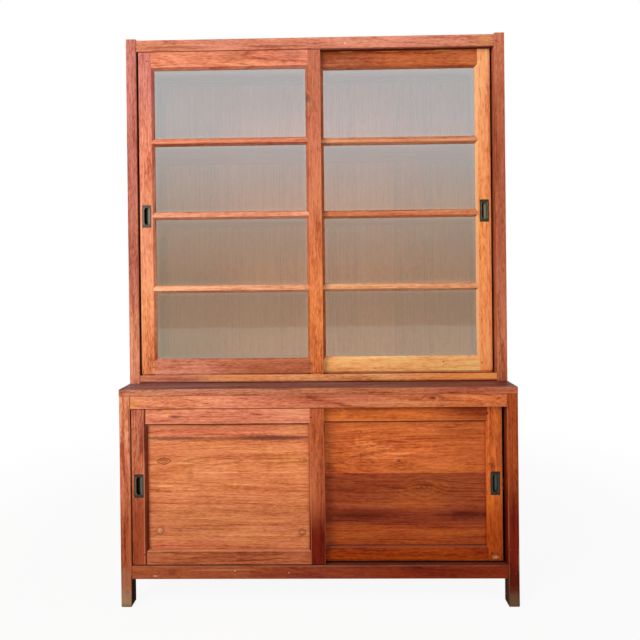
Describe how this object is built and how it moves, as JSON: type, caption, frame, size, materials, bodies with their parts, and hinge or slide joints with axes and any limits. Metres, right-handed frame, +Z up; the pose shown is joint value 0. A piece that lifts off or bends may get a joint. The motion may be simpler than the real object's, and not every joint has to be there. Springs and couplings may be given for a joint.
{
  "type": "mizuya kitchen cabinet",
  "caption": "Two-part wooden kitchen cabinet: a glazed chest with sliding doors stands on a deeper base chest with sliding panelled doors.",
  "frame": {"origin": "on the floor, under the middle of the base", "axes": "+X right, +Y back, +Z up; the doors face -Y"},
  "size_m": [1.2, 0.44, 1.758],
  "materials": {
    "carcass_wood": "oiled, reddish brown",
    "countertop_wood": "oiled, reddish brown",
    "side_panel_wood": "oiled, reddish brown",
    "door_frame_wood": "oiled, orange brown",
    "door_panel_wood": "oiled, orange brown",
    "inner_wood": "unfinished, dusty brown",
    "window_glass": "clear, slightly wavy",
    "aged_bronze": "dark patina, worn edges"
  },
  "bodies": {
    "carcass": {"base_back_boards": "inner_wood", "base_bottom_board": "inner_wood", "base_front_left_post": "carcass_wood", "base_front_right_post": "carcass_wood", "base_left_panel": "side_panel_wood", "base_rear_left_post": "carcass_wood", "base_rear_rails": "carcass_wood", "base_rear_right_post": "carcass_wood", "base_right_panel": "side_panel_wood", "base_shelf": "inner_wood", "base_shelf_cleats": "inner_wood", "base_side_rails": "carcass_wood", "base_sill": "carcass_wood", "base_top_rail": "carcass_wood", "chest_back_boards": "inner_wood", "chest_bottom_board": "inner_wood", "chest_front_left_post": "carcass_wood", "chest_front_right_post": "carcass_wood", "chest_left_panel": "side_panel_wood", "chest_lower_shelf": "inner_wood", "chest_middle_shelf": "inner_wood", "chest_rear_left_post": "carcass_wood", "chest_rear_rails": "carcass_wood", "chest_rear_right_post": "carcass_wood", "chest_right_panel": "side_panel_wood", "chest_shelf_cleats": "inner_wood", "chest_side_rails": "carcass_wood", "chest_sill": "carcass_wood", "chest_top_board": "inner_wood", "chest_top_rail": "carcass_wood", "chest_upper_shelf": "inner_wood", "countertop": "countertop_wood"},
    "upper_left_door": {"upper_left_door_beads": "door_frame_wood", "upper_left_door_bottom_rail": "door_frame_wood", "upper_left_door_glass": "window_glass", "upper_left_door_meeting_stile": "door_frame_wood", "upper_left_door_muntins": "door_frame_wood", "upper_left_door_outer_stile": "door_frame_wood", "upper_left_door_pull": "aged_bronze", "upper_left_door_top_rail": "door_frame_wood"},
    "upper_right_door": {"upper_right_door_beads": "door_frame_wood", "upper_right_door_bottom_rail": "door_frame_wood", "upper_right_door_glass": "window_glass", "upper_right_door_meeting_stile": "door_frame_wood", "upper_right_door_muntins": "door_frame_wood", "upper_right_door_outer_stile": "door_frame_wood", "upper_right_door_pull": "aged_bronze", "upper_right_door_top_rail": "door_frame_wood"},
    "lower_left_door": {"lower_left_door_bottom_rail": "door_frame_wood", "lower_left_door_meeting_stile": "door_frame_wood", "lower_left_door_outer_stile": "door_frame_wood", "lower_left_door_panel": "door_panel_wood", "lower_left_door_pull": "aged_bronze", "lower_left_door_top_rail": "door_frame_wood"},
    "lower_right_door": {"lower_right_door_bottom_rail": "door_frame_wood", "lower_right_door_meeting_stile": "door_frame_wood", "lower_right_door_outer_stile": "door_frame_wood", "lower_right_door_panel": "door_panel_wood", "lower_right_door_pull": "aged_bronze", "lower_right_door_top_rail": "door_frame_wood"}
  },
  "joints": [
    {"name": "upper_left_door_slide", "type": "slide", "parent": "carcass", "child": "upper_left_door", "axis": [1, 0, 0], "range_m": [-0.0055, 0.548]},
    {"name": "upper_right_door_slide", "type": "slide", "parent": "carcass", "child": "upper_right_door", "axis": [1, 0, 0], "range_m": [-0.5465, 0.007]},
    {"name": "lower_left_door_slide", "type": "slide", "parent": "carcass", "child": "lower_left_door", "axis": [1, 0, 0], "range_m": [-0.0025, 0.5475]},
    {"name": "lower_right_door_slide", "type": "slide", "parent": "carcass", "child": "lower_right_door", "axis": [1, 0, 0], "range_m": [-0.5415, 0.0085]}
  ]
}
